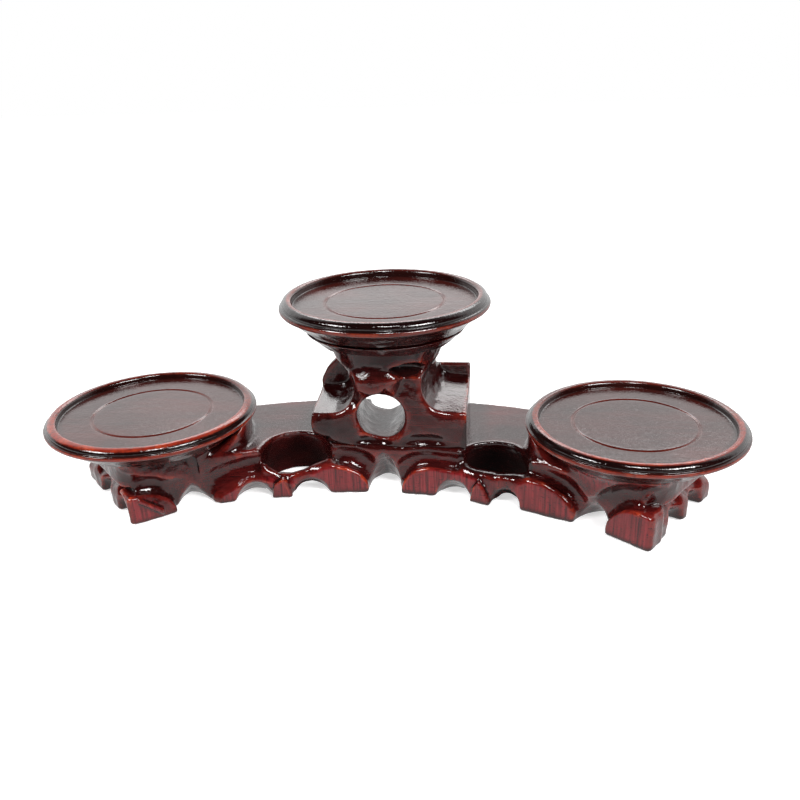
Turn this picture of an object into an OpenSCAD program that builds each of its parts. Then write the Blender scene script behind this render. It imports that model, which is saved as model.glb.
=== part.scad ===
// Carved hardwood stand with three turned trays, in millimetres, standing on z = 0

/* [Trays] */
// Outer diameter of each tray
tray_d = 100; // [90:1:108]
// Height of the well floor above the underside of the tray
tray_floor_h = 11; // [10:0.5:14]
// Height of the rim above the well floor
rim_h = 3.1; // [2.6:0.1:4]
// Width of the rim, seen from above and with the bead
rim_w = 6; // [5:0.1:8]
// Radius of the rim's rounded edge
rim_edge_r = 2.5; // [2:0.1:3]
// How far the rim's edge stands inside the bead's
rim_inset = 1.3; // [1:0.1:1.8]
// Radius of the bead under the rim
bead_r = 1.5; // [1.2:0.1:1.8]
// How far the bead's centre lies below the centre of the rim's edge
bead_drop = 1.4; // [1.2:0.1:2]
// Diameter of the flat underside that is glued down
tray_foot_d = 74; // [68:1:78]
// How far the skirt stands inside the bead at its foot
skirt_foot_inset = 10; // [8:0.5:12]
// Height of the bevel at the skirt's foot
skirt_bevel_h = 1.5; // [1:0.5:3]
// Diameter of the incised ring in the well
ring_d = 56.5; // [40:0.5:70]
// Radius of the tool that cuts the incised ring
ring_tool_r = 0.6; // [0.4:0.1:1]

/* [Layout] */
// Distance of each side tray's axis from the middle
side_tray_x = 117; // [108:1:126]
// How far the middle tray stands behind the side trays
tray_setback = 18; // [10:1:24]
// Height of the middle tray above the side trays
middle_rise = 52.6; // [48:0.2:58]

/* [Base board] */
// Height of the raised seats under the side trays
seat_h = 5; // [4:0.5:7]
// Diameter at the foot of each raised seat
seat_foot_d = 62; // [58:1:68]
// Thickness of the board
board_t = 24.5; // [22:0.5:28]
// Width of the arced board
board_w = 62.5; // [58:0.5:68]
// Radius of the arc that the front toes stand on
front_r = 187.5; // [175:0.5:200]
// How far the middle toes stand in front of the stand's centre line
front_offset = 11; // [8:0.5:14]
// Angle from the middle of the arc to each sawn end
end_angle = 39; // [37:0.5:41]
// How far the board's top edge stands behind the toe faces
lip_setback = 3; // [2:0.5:5]
// Radius of the cove under the board's top edge
cove_r = 5; // [4:0.25:5.5]
// Thickness of wood left above the cove
cove_lip = 1.3; // [1:0.1:2]
// Length of the toes, front to back
toe_l = 13; // [11:0.5:16]

/* [Scooped holes] */
// Radius of the scooped hole in each wing
hole_r = 16.5; // [14:0.5:18]
// Slope of the holes' axes, which lean back as they go down
hole_slope = 37; // [30:1:42]
// How far the left hole's axis stands behind the toe faces, at the board's top
left_hole_back = 1.5; // [0:0.5:4]
// How far the right hole's axis stands in front of the toe faces, at the board's top
right_hole_front = 2.5; // [1:0.5:4]
// Angle of the left hole from the middle
left_hole_angle = 13.4; // [12:0.1:16]
// Angle of the right hole from the middle
right_hole_angle = 16.3; // [14:0.1:18]
// Thickness of the dam left in front of each hole
dam_t = 5; // [4:0.5:7]
// Height of the left dam
left_dam_h = 12.5; // [12:0.5:14]
// Height of the right dam
right_dam_h = 15; // [12:0.5:16]

/* [Notches] */
// Slope of the scoops that part the toes
scoop_slope = 40; // [34:1:46]
// Half width of the scoops along the front and the back
scoop_r = 8.4; // [7:0.1:9]
// Height of the deep scoops at the toe faces
deep_scoop_h = 22; // [18:0.5:23]
// Height of the shallow scoops at the toe faces
low_scoop_h = 11.5; // [9:0.5:12]
// Half width of the scoops in the sawn ends
end_scoop_r = 7; // [5:0.5:8]

/* [Pedestal] */
// Width of the pedestal left of the middle
pedestal_left = 36; // [33:0.5:40]
// Width of the pedestal right of the middle
pedestal_right = 39.5; // [36:0.5:43]
// Depth of the pedestal, front to back
pedestal_depth = 38; // [34:0.5:42]
// How far the pedestal's face stands behind the middle toes
pedestal_setback = 3; // [2:0.5:6]
// Radius of the side scallops at the front
scallop_r = 17.5; // [15:0.5:19]
// Radius of the side scallops at the back
scallop_back_r = 11.5; // [9:0.5:14]
// Height of the scallops' axis above the board
scallop_h = 36; // [33:0.5:38]
// Distance of each scallop's axis from the pedestal's middle
scallop_x = 33; // [31:0.5:35]
// Thickness of the wall left behind each scallop
scallop_wall = 5; // [4:0.5:8]
// Height of the right scallop's back wall above the board
right_wall_h = 29.5; // [26:0.5:34]
// Height of the left scallop's back wall above the board
left_wall_h = 33.5; // [28:0.5:36]
// Radius of the through hole
eye_r = 11.6; // [10:0.2:12.5]
// Height of the through hole's axis above the board
eye_h = 15; // [14.5:0.5:18]
// How far the through hole stands left of the middle
eye_offset = 1.4; // [0:0.2:3]
// Width of the worn bevel round the eye and the scallops
bevel = 3; // [1:0.5:3.5]
// Height above the board of the undercut that the left hole leaves in the pedestal
undercut_h = 7; // [4:0.5:10]
// Radius of the carved knob above the eye
knob_r = 10.5; // [9:0.5:12]
// Radius of the slot carved under the flare
slot_r = 4; // [3:0.5:5]
// Radius at the waist, where the flare springs from the block
waist_r = 22; // [19:0.5:25]
// Height of the flare under the middle tray
flare_h = 12; // [10:0.5:14]

/* [Dowels] */
// Diameter of the dowels
dowel_d = 10; // [8:0.5:12]
// Glue gap round a dowel, on the radius
dowel_gap = 0.1; // [0.05:0.05:0.2]
// Gap at each end of a dowel
dowel_end_gap = 0.3; // [0.2:0.1:0.6]
// Depth of the dowel bores in the trays
tray_bore = 7; // [6:0.5:8]
// Depth of the dowel bores in the board and the pedestal
wood_bore = 13; // [10:0.5:14]
// Distance of the pedestal's dowels from its middle
pedestal_dowel_x = 25; // [22:0.5:28]

/* [Hidden] */
$fn = 64;
tray_r = tray_d / 2;
well_r = tray_r - rim_w;
tray_h = tray_floor_h + rim_h;
middle_tray_y = tray_setback / 2;
side_tray_y = -tray_setback / 2;
seat_top = board_t + seat_h;
pedestal_h = seat_h + middle_rise;
pedestal_top = board_t + pedestal_h;
arc_y = -front_offset - front_r;
back_r = front_r + board_w;
lip_r = front_r + lip_setback;
pedestal_front = -front_offset + pedestal_setback;
pedestal_back = pedestal_front + pedestal_depth;
pedestal_x = (pedestal_right - pedestal_left) / 2;
pedestal_y = (pedestal_front + pedestal_back) / 2;
bore_r = dowel_d / 2 + dowel_gap;
wood = [0.33, 0.09, 0.07];
light_wood = [0.78, 0.62, 0.42];
reach = 400;
cut = 1;

// Toes along the front arc: angle from the middle and height of the rounded face
front_toes = [[-35.3, 17], [-24.2, 13], [-15.6, 10], [-6.4, 16],
              [5.8, 14], [14.6, 11], [23.4, 17], [35.6, 17]];
// Scoops along the front arc: angle and height
front_scoops = [[-28.6, deep_scoop_h], [-19.4, low_scoop_h], [-11.2, low_scoop_h], [-0.2, deep_scoop_h],
                [10.2, low_scoop_h], [18.6, low_scoop_h], [30.1, deep_scoop_h]];
// Angles of the scoops along the back arc
back_scoops = [-30, -20, -10, 0, 10, 20, 30];
// Scoops in the left and the right sawn end: distance behind the toe faces
left_end_scoops = [9.5, 32];
right_end_scoops = [21, 45];

// Places its children on the arc, with local +Y pointing away from the arc's centre
module on_arc(angle, r) {
    translate([0, arc_y, 0]) rotate([0, 0, -angle]) translate([0, r, 0]) children();
}

// Sweeps a flat outline of radius and height along part of the arc
module along_arc(from_angle, to_angle) {
    translate([0, arc_y, 0]) rotate([0, 0, 90 - to_angle])
        rotate_extrude(angle = to_angle - from_angle, $fn = 180) children();
}

// Everything below the surface that the stand rests on
module below_ground() {
    translate([-reach / 2, -reach / 2, -reach]) cube([reach, reach, reach]);
}

// Everything past a sawn end; side is -1 left and 1 right
module beyond_end(side) {
    on_arc(side * end_angle, 0) translate([side > 0 ? 0 : -reach, 0, -reach / 2])
        cube([reach, reach, reach]);
}

// Cross-section of the board, with the cove under the front of its top edge
module board_section() {
    difference() {
        translate([lip_r, 0]) square([back_r - lip_r, board_t]);
        translate([lip_r, board_t - cove_lip - cove_r]) circle(r = cove_r);
        translate([lip_r - cut, -cut]) square([cut + cove_r, board_t - cove_lip - cove_r + cut]);
    }
}

// The raised, flared seat under a side tray
module seat(x) {
    translate([x, side_tray_y, board_t - cut])
        cylinder(d1 = seat_foot_d, d2 = tray_foot_d, h = seat_h + cut, $fn = 120);
}

// One toe: a round-topped boss that stands out from the board
module toe(angle, h) {
    on_arc(angle, front_r) rotate([-90, 0, 0]) cylinder(r = h, h = toe_l);
}

// A slanted scoop, round at the top and open below, that runs in and down along local +Y
module scoop(r, h, l) {
    translate([0, 0, h - r / cos(scoop_slope)]) rotate([-90 - scoop_slope, 0, 0]) {
        translate([0, 0, -l]) cylinder(r = r, h = 2 * l);
        translate([-r, 0, -l]) cube([2 * r, l, 2 * l]);
    }
}

module front_scoop(angle, h) {
    on_arc(angle, front_r) scoop(scoop_r, h, board_w / 2);
}

module back_scoop(angle) {
    on_arc(angle, back_r) rotate([0, 0, 180]) scoop(scoop_r, low_scoop_h, board_w / 2);
}

// A scoop in a sawn end, at a distance behind the toe faces; side is -1 left and 1 right
module end_scoop(side, back) {
    on_arc(side * end_angle, front_r + back) rotate([0, 0, side * 90])
        scoop(end_scoop_r, low_scoop_h, board_w / 2);
}

// A cove along a sawn end
module end_cove(side) {
    on_arc(side * end_angle, front_r - cut) translate([0, 0, board_t - cove_lip - cove_r])
        rotate([-90, 0, 0]) cylinder(r = cove_r, h = board_w + 2 * cut);
}

// The scooped hole in a wing, whose axis crosses the board's top at a distance behind the toe faces
module wing_hole(angle, back) {
    on_arc(angle, front_r + back) translate([0, 0, board_t]) rotate([hole_slope, 0, 0])
        cylinder(r = hole_r, h = 4 * board_t, center = true);
}

module dam(angle, h) {
    spread = asin(hole_r / front_r);
    along_arc(angle - spread, angle + spread) translate([front_r, 0]) square([dam_t, h]);
}

// A dowel bore, from a face down or up
module bore(x, y, z, depth, up) {
    translate([x, y, up ? z - cut : z - depth]) cylinder(r = bore_r, h = depth + cut);
}

module base_board() {
    color(wood) difference() {
        union() {
            difference() {
                union() {
                    along_arc(-end_angle, end_angle) board_section();
                    for (t = front_toes) toe(t[0], t[1]);
                    for (side = [-1, 1]) seat(side * side_tray_x);
                }
                wing_hole(-left_hole_angle, left_hole_back);
                wing_hole(right_hole_angle, -right_hole_front);
                for (side = [-1, 1]) beyond_end(side);
            }
            dam(-left_hole_angle, left_dam_h);
            dam(right_hole_angle, right_dam_h);
        }
        for (s = front_scoops) front_scoop(s[0], s[1]);
        for (a = back_scoops) back_scoop(a);
        for (b = left_end_scoops) end_scoop(-1, b);
        for (b = right_end_scoops) end_scoop(1, b);
        for (side = [-1, 1]) {
            end_cove(side);
            bore(side * side_tray_x, side_tray_y, seat_top, wood_bore, false);
            bore(pedestal_x + side * pedestal_dowel_x, pedestal_y, board_t, wood_bore, false);
        }
        below_ground();
    }
}

// A side scallop: a tapering scoop from the front, with a bevelled mouth; side is -1 left and 1 right
module scallop(side) {
    l = pedestal_depth - scallop_wall;
    taper = (scallop_r - scallop_back_r) / l;
    translate([pedestal_x + side * scallop_x, pedestal_front, board_t + scallop_h]) rotate([-90, 0, 0]) {
        translate([0, 0, -cut]) cylinder(r1 = scallop_r + taper * cut, r2 = scallop_back_r, h = l + cut);
        translate([0, 0, -cut]) cylinder(r1 = scallop_r + bevel + cut, r2 = scallop_r, h = bevel + cut);
    }
}

// What is sawn away beside the neck and above a scallop's back wall; side is -1 left and 1 right
module beside_neck(side, wall_h) {
    inner = scallop_x - scallop_back_r;
    translate([pedestal_x + (side > 0 ? inner : -reach - inner), 0, board_t]) {
        translate([0, pedestal_front - cut, scallop_h]) cube([reach, pedestal_depth + 2 * cut, reach]);
        translate([0, pedestal_back - scallop_wall - cut, wall_h])
            cube([reach, scallop_wall + 2 * cut, reach]);
    }
}

// The through hole with its worn mouth
module eye() {
    translate([-eye_offset, pedestal_front, board_t + eye_h]) rotate([-90, 0, 0]) {
        translate([0, 0, -cut]) cylinder(r = eye_r, h = pedestal_depth + 2 * cut);
        translate([0, 0, -cut]) cylinder(r1 = eye_r + bevel / 2 + cut, r2 = eye_r, h = bevel / 2 + cut);
    }
}

// The slot carved under the flare, right of the knob
module slot() {
    translate([pedestal_x, pedestal_front, pedestal_top - flare_h]) rotate([0, 90, 0])
        cylinder(r = slot_r, h = scallop_x - scallop_r + cut);
}

// The flared top that carries the middle tray
module flare() {
    translate([0, middle_tray_y, pedestal_top - flare_h]) rotate_extrude($fn = 120) difference() {
        square([tray_foot_d / 2, flare_h]);
        polygon([[waist_r, 0], [tray_foot_d / 2 + cut, 0], [tray_foot_d / 2 + cut, flare_h]]);
    }
}

module pedestal() {
    color(wood) difference() {
        union() {
            difference() {
                translate([-pedestal_left, pedestal_front, board_t])
                    cube([pedestal_left + pedestal_right, pedestal_depth, pedestal_h - flare_h + slot_r]);
                for (side = [-1, 1]) scallop(side);
                beside_neck(1, right_wall_h);
                beside_neck(-1, left_wall_h);
                slot();
            }
            translate([pedestal_x - knob_r / 2, pedestal_front + knob_r / 2, board_t + scallop_h])
                sphere(r = knob_r);
            flare();
        }
        eye();
        intersection() {
            wing_hole(-left_hole_angle, left_hole_back);
            translate([-reach / 2, -reach / 2, 0]) cube([reach, reach, board_t + undercut_h]);
        }
        bore(0, middle_tray_y, pedestal_top, wood_bore, false);
        for (side = [-1, 1])
            bore(pedestal_x + side * pedestal_dowel_x, pedestal_y, board_t, wood_bore, true);
    }
}

// Cross-section of a tray, from its axis to its bead
module tray_section() {
    rim_r = tray_r - rim_inset - rim_edge_r;
    rim_z = tray_h - rim_edge_r;
    bead_z = rim_z - bead_drop;
    difference() {
        union() {
            polygon([[0, 0], [tray_foot_d / 2, 0], [tray_r - skirt_foot_inset, skirt_bevel_h],
                     [tray_r - bead_r, bead_z - bead_r], [tray_r - bead_r, bead_z],
                     [rim_r, tray_h], [0, tray_h]]);
            translate([rim_r, rim_z]) circle(r = rim_edge_r);
            translate([tray_r - bead_r, bead_z]) circle(r = bead_r);
        }
        translate([-cut, tray_floor_h]) square([well_r + cut, tray_h]);
        translate([ring_d / 2, tray_floor_h]) circle(r = ring_tool_r, $fn = 32);
    }
}

module tray(x, y, z) {
    color(wood) difference() {
        translate([x, y, z]) rotate_extrude($fn = 160) tray_section();
        bore(x, y, z, tray_bore, true);
    }
}

// A dowel across a glue joint at height z, as deep as the two bores less a gap at each end
module dowel(x, y, z, up, down) {
    color(light_wood) translate([x, y, z - down + dowel_end_gap])
        cylinder(d = dowel_d, h = up + down - 2 * dowel_end_gap);
}

module left_tray() { tray(-side_tray_x, side_tray_y, seat_top); }
module middle_tray() { tray(0, middle_tray_y, pedestal_top); }
module right_tray() { tray(side_tray_x, side_tray_y, seat_top); }
module left_tray_dowel() { dowel(-side_tray_x, side_tray_y, seat_top, tray_bore, wood_bore); }
module middle_tray_dowel() { dowel(0, middle_tray_y, pedestal_top, tray_bore, wood_bore); }
module right_tray_dowel() { dowel(side_tray_x, side_tray_y, seat_top, tray_bore, wood_bore); }
module left_pedestal_dowel() {
    dowel(pedestal_x - pedestal_dowel_x, pedestal_y, board_t, wood_bore, wood_bore);
}
module right_pedestal_dowel() {
    dowel(pedestal_x + pedestal_dowel_x, pedestal_y, board_t, wood_bore, wood_bore);
}

base_board();
pedestal();
left_tray();
middle_tray();
right_tray();
left_tray_dowel();
middle_tray_dowel();
right_tray_dowel();
left_pedestal_dowel();
right_pedestal_dowel();
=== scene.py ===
"""Carved hardwood stand with three turned trays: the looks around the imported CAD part."""

import math

import bpy
import numpy as np
from mathutils import Matrix, Vector


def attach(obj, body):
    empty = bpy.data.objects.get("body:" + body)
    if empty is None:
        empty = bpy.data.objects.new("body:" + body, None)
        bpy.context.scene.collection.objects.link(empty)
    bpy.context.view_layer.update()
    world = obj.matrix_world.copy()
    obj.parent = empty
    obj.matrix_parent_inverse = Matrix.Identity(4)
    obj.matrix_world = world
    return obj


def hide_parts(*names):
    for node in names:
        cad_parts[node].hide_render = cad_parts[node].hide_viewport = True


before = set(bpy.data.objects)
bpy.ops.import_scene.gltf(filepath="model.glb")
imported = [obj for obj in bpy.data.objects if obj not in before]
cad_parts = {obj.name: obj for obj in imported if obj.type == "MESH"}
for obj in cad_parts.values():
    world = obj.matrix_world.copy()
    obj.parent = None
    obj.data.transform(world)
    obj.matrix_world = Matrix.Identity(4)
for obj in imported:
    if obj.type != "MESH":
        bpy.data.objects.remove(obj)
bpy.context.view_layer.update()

# Sizes in millimetres, in the part's own frame
MM = 0.001
SIDES = (-1, 1)
ARC_Y = -198.5
FRONT_R = 187.5
LIP_R = 190.5
BACK_R = 250.0
BOARD_T = 24.5
SEAT_TOP = 29.5
SEAT_R = 37.0
SIDE_TRAY_X = 117.0
SIDE_TRAY_Y = -9.0
MIDDLE_TRAY_Y = 9.0
PEDESTAL_TOP = 82.1

# Grids that the wood is carved on: lowest corner, highest corner, step
BOARD_GRID = ((-161, -60, -2), (162, 54, 39.5), 0.65)
PEDESTAL_GRID = ((-39.5, -31, 23), (43, 49, 84), 0.55)

# Sawn ends: angle of the front corner and angle of the cut from the Y axis
LEFT_END, RIGHT_END = (37.9, 44.3), (39.8, 34.8)
# Seats under the side trays: heights and radii of the waist
SEAT_HEIGHTS = (16.0, 20.0, BOARD_T, 26.5, SEAT_TOP)
SEAT_RADII = (33.0, 33.5, 34.5, 35.2, SEAT_R)
# Toe faces along the front: angle of the peak, half widths left and right of it, height,
# middle and radius of the cove over it, bevel
FRONT_TOES = [
    (-37.5, 16.0, 21.5, 14.3, 4.4, 5.4, 0.6),
    (-18.4, 25.0, 22.0, 12.6, 5.4, 6.4, 3.4),
    (-7.8, 14.0, 17.3, 15.0, 5.0, 6.0, 0.7),
    (7.0, 15.7, 32.0, 15.4, 3.9, 4.9, 0.8),
    (22.0, 12.0, 21.5, 17.5, 3.9, 4.9, 1.6),
    (38.0, 17.5, 16.0, 17.3, 5.2, 6.2, 0.8),
]
TOE_LENGTH = 13.0
# Second cove, over the second toe: middle, radius, depth of its axis, softness
UPPER_COVE = (13.4, 6.2, -2.0, 3.4)
# Slanting cut across the leftmost toe's face: a point on it, along the face and above the ground,
# its rise, how fast the face recedes above it
TOE_CUT = (3.0, 13.0, -0.86, 0.30)
# Notches along the front: angle, half width, height, how pointed the top is, slope
FRONT_NOTCHES = [
    (-28.5, 8.1, 18.0, 4.0, 43.0),
    (-19.8, 9.4, 10.8, 0.0, 43.0),
    (-11.4, 10.0, 9.8, 0.0, 43.0),
    (-0.3, 7.7, 25.0, 3.0, 50.0),
    (10.2, 8.7, 11.0, 0.0, 43.0),
    (18.0, 7.4, 10.8, 0.0, 43.0),
    (30.6, 7.6, 18.0, 4.0, 43.0),
]
# Small faceted toes in front of the wing holes: angle, corners of the face, foot of the ridge
SMALL_TOES = [
    (-15.7, [(-5.2, 0), (-3.6, 8.2), (0.8, 10.8), (3.4, 8.6), (5.2, 0)], 4.2),
    (14.2, [(-5.0, 0), (-2.8, 8.8), (-0.2, 12.2), (2.8, 8.6), (6.2, 0)], 5.0),
]
# Notches along the back and in the ends: half width, height, slope
BACK_NOTCH, END_NOTCH, NOTCH_SLOPE = (8.4, 11.5), (7.0, 12.5), 43.0
BACK_NOTCHES = (-30, -20, -10, 10, 20, 30)
# Notches and knobs in the ends: side, distance behind the toe faces
END_NOTCHES = [(-1, 10.5), (-1, 35.5), (1, 26.0), (1, 46.0)]
END_KNOBS = [(-1, 20.5), (-1, 50.5), (1, 35.5), (1, 56.5)]
# Round bite out of the back edge behind the pedestal: place, radius
BITE_X, BITE_Y, BITE_R = -3.0, 51.5, 13.0
# Wing holes: angle, distance behind the toe faces, radius, slope, far side of the lip
LEFT_HOLE = (-13.2, 3.4, 16.3, 19.0, 6.6)
RIGHT_HOLE = (16.1, 0.5, 16.0, 19.0, 9.0)
# How far behind the toe faces the holes meet the ground
HOLE_FLOOR_BACK = 19.0
# Top of the lip in front of each hole: distances along the front, heights
LEFT_LIP = ([-21, -17, -14.5, -9, -3, 3, 8, 17, 22], [20, 18.5, 16.0, 11.8, 11.2, 12.6, 14.6, 18, 20])
RIGHT_LIP = ([-21, -17, -10, 1, 11, 18, 23], [19, 17.5, 15.2, 15.0, 16.4, 17.5, 19])

# Pedestal: faces, top of its block, middle
PEDESTAL_LEFT, PEDESTAL_RIGHT = -36.0, 39.5
PEDESTAL_FRONT, PEDESTAL_BACK = -8.0, 30.0
PEDESTAL_BLOCK_TOP = 74.1
PEDESTAL_MIDDLE = 1.75
# Top of the wall behind each scallop, as lines: a point in x and z, rise
LEFT_WALL = [(-35.1, 49.8, 1.83), (-32.7, 54.2, 1.0)]
RIGHT_WALL = [(0.0, 55.2, 0.0)]
# Scallops: side, wall, height of the shoulder, height of the floor at the face, its rise, depth
SCALLOPS = [(1, RIGHT_WALL, 60.5, 42.0, 0.18, 35.0), (-1, LEFT_WALL, 70.0, 40.2, 0.155, 28.0)]
SCALLOP_Z, SCALLOP_R, SCALLOP_TAPER, SCALLOP_APART = 60.5, 17.5, 0.18, 33.0
# Neck under the flare: heights, half widths, half depth, foot
NECK_HEIGHTS, NECK_WIDTHS = (57.0, 62.0, 67.0, 74.0), (18.5, 22.0, 25.5, 28.0)
NECK_DEPTH, NECK_FOOT = 20.0, 60.0
# Flare: height of the ledge under it, rise of the ledge, radius there, slope
FLARE_Z, LEDGE_RISE, FLARE_R, FLARE_SLOPE = 74.0, 0.09, 30.0, 1.1
# Through hole: place, slant, radius, radius of its bevel
EYE_X, EYE_Z, EYE_SLANT, EYE_R, EYE_BEVEL_R = -1.4, 39.5, 0.1, 11.6, 13.0
# Rounded lumps and hollows: centre, half sizes
NOSE = ((-4.8, -7.0, 57.8), (11.6, 7.0, 7.6))
BROW_HOLLOW = ((11.4, -6.4, 63.8), (9.8, 6.4, 3.6))
FOOT_HOLLOWS = [((-5.5, -9.5, 27.0), (9.5, 4.5, 3.4)), ((20.0, -9.5, 28.0), (10.0, 4.2, 3.6))]
MOUTH_HOLLOW = ((-15.5, -9.0, 52.0), (4.5, 5.0, 9.0))

# Turning that the trays share: floor, incised ring and its groove as steps out and down,
# inner side of the rim, middle of the crest, bead, skirt from its top edge in and down,
# foot as radii and heights
TRAY_FLOOR = 11.0
RING_R = 28.25
RING_GROOVE = [(-0.75, 0.04), (-0.35, 0.42), (0.0, 0.6), (0.35, 0.42), (0.75, 0.04)]
RIM_INNER_R = 43.9
CREST_R = 45.5
BEAD_R, BEAD_H, BEAD_ROUND = 48.5, 10.2, 1.5
SKIRT_R, SKIRT_H, SKIRT_IN, SKIRT_DOWN = 47.9, 8.3, 7.9, 6.8
TRAY_FOOT = [(39.2, 1.0), (38.0, 0.45), (37.0, 0.12), (36.0, 0.0), (20.0, 0.0), (0.0, 0.0)]
TRAY_SEGMENTS = 288
KNIFE_CUTS = 34
# Waves of a tray: width, height, what is added to the tray's seed
TRAY_WAVES = [(14.0, 0.05, 0), (5.0, 0.03, 7)]
# Trays: node, middle, seed, height of the crest, radius that the red of the crest reaches (painted shade
# past it), how red the worn crest and bead are, higher on the trays that light falls on (partly painted
# light), painted shade under the skirt, spread
TRAYS = [
    ("left_tray", (1.0 - SIDE_TRAY_X, SIDE_TRAY_Y, SEAT_TOP), 11, 14.1, 47.9, 1.0, 0.3, 1.02),
    ("middle_tray", (0.0, MIDDLE_TRAY_Y, PEDESTAL_TOP), 12, 14.7, 46.2, 0.5, 0.8, 1.0),
    ("right_tray", (SIDE_TRAY_X, SIDE_TRAY_Y, SEAT_TOP), 13, 14.1, 46.9, 0.8, 0.4, 1.0),
]

# Hand work: width, height and seed of each layer of waves, then the gouge cuts
WAVES = [(11.0, 0.20, 3), (5.0, 0.11, 5), (2.2, 0.05, 9)]
GOUGE_WIDTH, GOUGE_DEPTH, GOUGE_SEED, GOUGE_MEAN = 5.5, 0.32, 21, 0.25
# How much of the waves a sawn or planed face keeps, and how squarely such a face looks along an axis
SAWN_WAVES, FLAT = 0.25, (0.90, 0.98)
SMOOTH_ROUNDS, SMOOTH_OUT, SMOOTH_BACK = 3, 0.5, -0.53
# Rounds of smoothing for sharp and broad bends, and the bends, in 1/mm, that wear the lacquer, thin it and
# take painted shade
SHARP_ROUNDS, BROAD_ROUNDS = 3, 24
WORN_BEND, THIN_BEND, SHARP_CREASE_SHADE, BROAD_HOLLOW_SHADE = (0.20, 0.70), (0.02, 0.30), (0.2, 0.7), (0.04, 0.32)
# Heights from which edges are less worn, and from which sawn faces show their streaks, darker below as
# painted shade at the ground
LESS_WORN, STREAKS_FROM = (15.0, 19.0), (0.4, 2.6)

# Colours of the lacquered wood
# Near-black of pores, of the dark joint and a tray's centre mark, and of painted shade in creases, holes, at
# the ground and under the trays
SHADE_JOINT_AND_PORE_DARK = (0.0035, 0.0012, 0.0012)
BOARD_COLOURS = {
    "dark": (0.010, 0.0016, 0.0016),
    "middle": (0.048, 0.0045, 0.0045),
    "light": (0.12, 0.010, 0.009),
    "rubbed": (0.12, 0.009, 0.007),
    "edge": (0.42, 0.045, 0.013),
    "sawn": (0.13, 0.010, 0.012),
}
PEDESTAL_COLOURS = {
    "dark": (0.008, 0.0016, 0.0016),
    "middle": (0.028, 0.004, 0.004),
    "light": (0.075, 0.008, 0.007),
    "rubbed": (0.085, 0.008, 0.006),
    "edge": (0.42, 0.045, 0.013),
    "sawn": (0.06, 0.008, 0.008),
}
TRAY_COLOURS = {
    "dark": (0.014, 0.004, 0.0035),
    "middle": (0.042, 0.008, 0.0065),
    "light": (0.08, 0.013, 0.010),
    "rubbed": (0.22, 0.019, 0.008),
    "edge": (0.46, 0.065, 0.018),
    "sawn": (0.12, 0.02, 0.018),
}
DOWEL_DARK, DOWEL_LIGHT = (0.38, 0.24, 0.12), (0.55, 0.38, 0.21)

# Stage, in metres: floor, and lamps with their place, aim, size and power in watts
FLOOR_HALF, FLOOR_DROP = 3.0, 0.0003
LAMPS = [
    ("right_softbox", (0.75, -0.65, 0.75), (0, 0, 0.04), (0.50, 0.24), 14.0),
    ("left_softbox", (-0.8, -0.6, 0.8), (0, 0, 0.04), (0.40, 0.20), 10.0),
    ("top_softbox", (0.12, -0.62, 1.05), (0, 0, 0.04), (0.18, 0.18), 6.0),
    ("back_softbox", (0.0, 1.03, 0.95), (0, 0, 0.05), (1.4, 0.40), 8.0),
]
# Camera fitted to the photograph: place in mm, angles in degrees, focal length and width in pixels
CAMERA_PLACE = (58.56, -358.59, 200.72)
CAMERA_YAW, CAMERA_PITCH, CAMERA_ROLL = 8.188, 23.146, 2.022
CAMERA_FOCAL, PHOTO_WIDTH = 813.2, 800
SENSOR_MM = 36.0


# Noise and smooth joins

HASH_X, HASH_Y, HASH_Z = 374761393, 668265263, 2147483647
HASH_SEED, HASH_MIX, HASH_MASK = 974634777, 1274126177, 0xFFFFFF
TINY = 1e-9


def lattice(ix, iy, iz, seed):
    """A repeatable random number from 0 to 1 at each whole-numbered point."""
    h = (ix * HASH_X + iy * HASH_Y + iz * HASH_Z + seed * HASH_SEED).astype(np.int64)
    h = (h ^ (h >> 13)) * HASH_MIX
    h = h ^ (h >> 16)
    return ((h & HASH_MASK) / float(HASH_MASK)).astype(np.float32)


def noise(p, seed):
    """Smooth value noise from -1 to 1 at points p (n, 3)."""
    cell = np.floor(p).astype(np.int64)
    t = (p - cell).astype(np.float32)
    t = t * t * (3 - 2 * t)
    total = np.zeros(len(p), np.float32)
    for corner in np.ndindex(2, 2, 2):
        share = np.where(corner, t, 1 - t)
        total += share[:, 0] * share[:, 1] * share[:, 2] * lattice(*(cell + corner).T, seed)
    return total * 2 - 1


def cuts(p, seed):
    """Squared distance to the nearest of scattered points: bowls and ridges, like gouge cuts."""
    cell = np.floor(p).astype(np.int64)
    best = np.full(len(p), np.inf, np.float32)
    for step in np.ndindex(3, 3, 3):
        at = cell + np.array(step) - 1
        spot = np.stack([lattice(*at.T, seed + k) for k in range(3)], 1)
        best = np.minimum(best, ((at + spot - p) ** 2).sum(1))
    return best


def smin(a, b, k):
    """The lesser of two distances, joined over k millimetres."""
    h = np.maximum(k - np.abs(a - b), 0) / k
    return np.minimum(a, b) - h * h * k * 0.25


def smax(a, b, k):
    """The greater of two distances, joined over k millimetres."""
    return -smin(-a, -b, k)


def step_curve(low, high, v):
    """0 at low, 1 at high and smooth between them."""
    t = np.clip((v - low) / (high - low), 0, 1)
    return t * t * (3 - 2 * t)


def sine_cosine(degrees):
    a = math.radians(degrees)
    return math.sin(a), math.cos(a)


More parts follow.
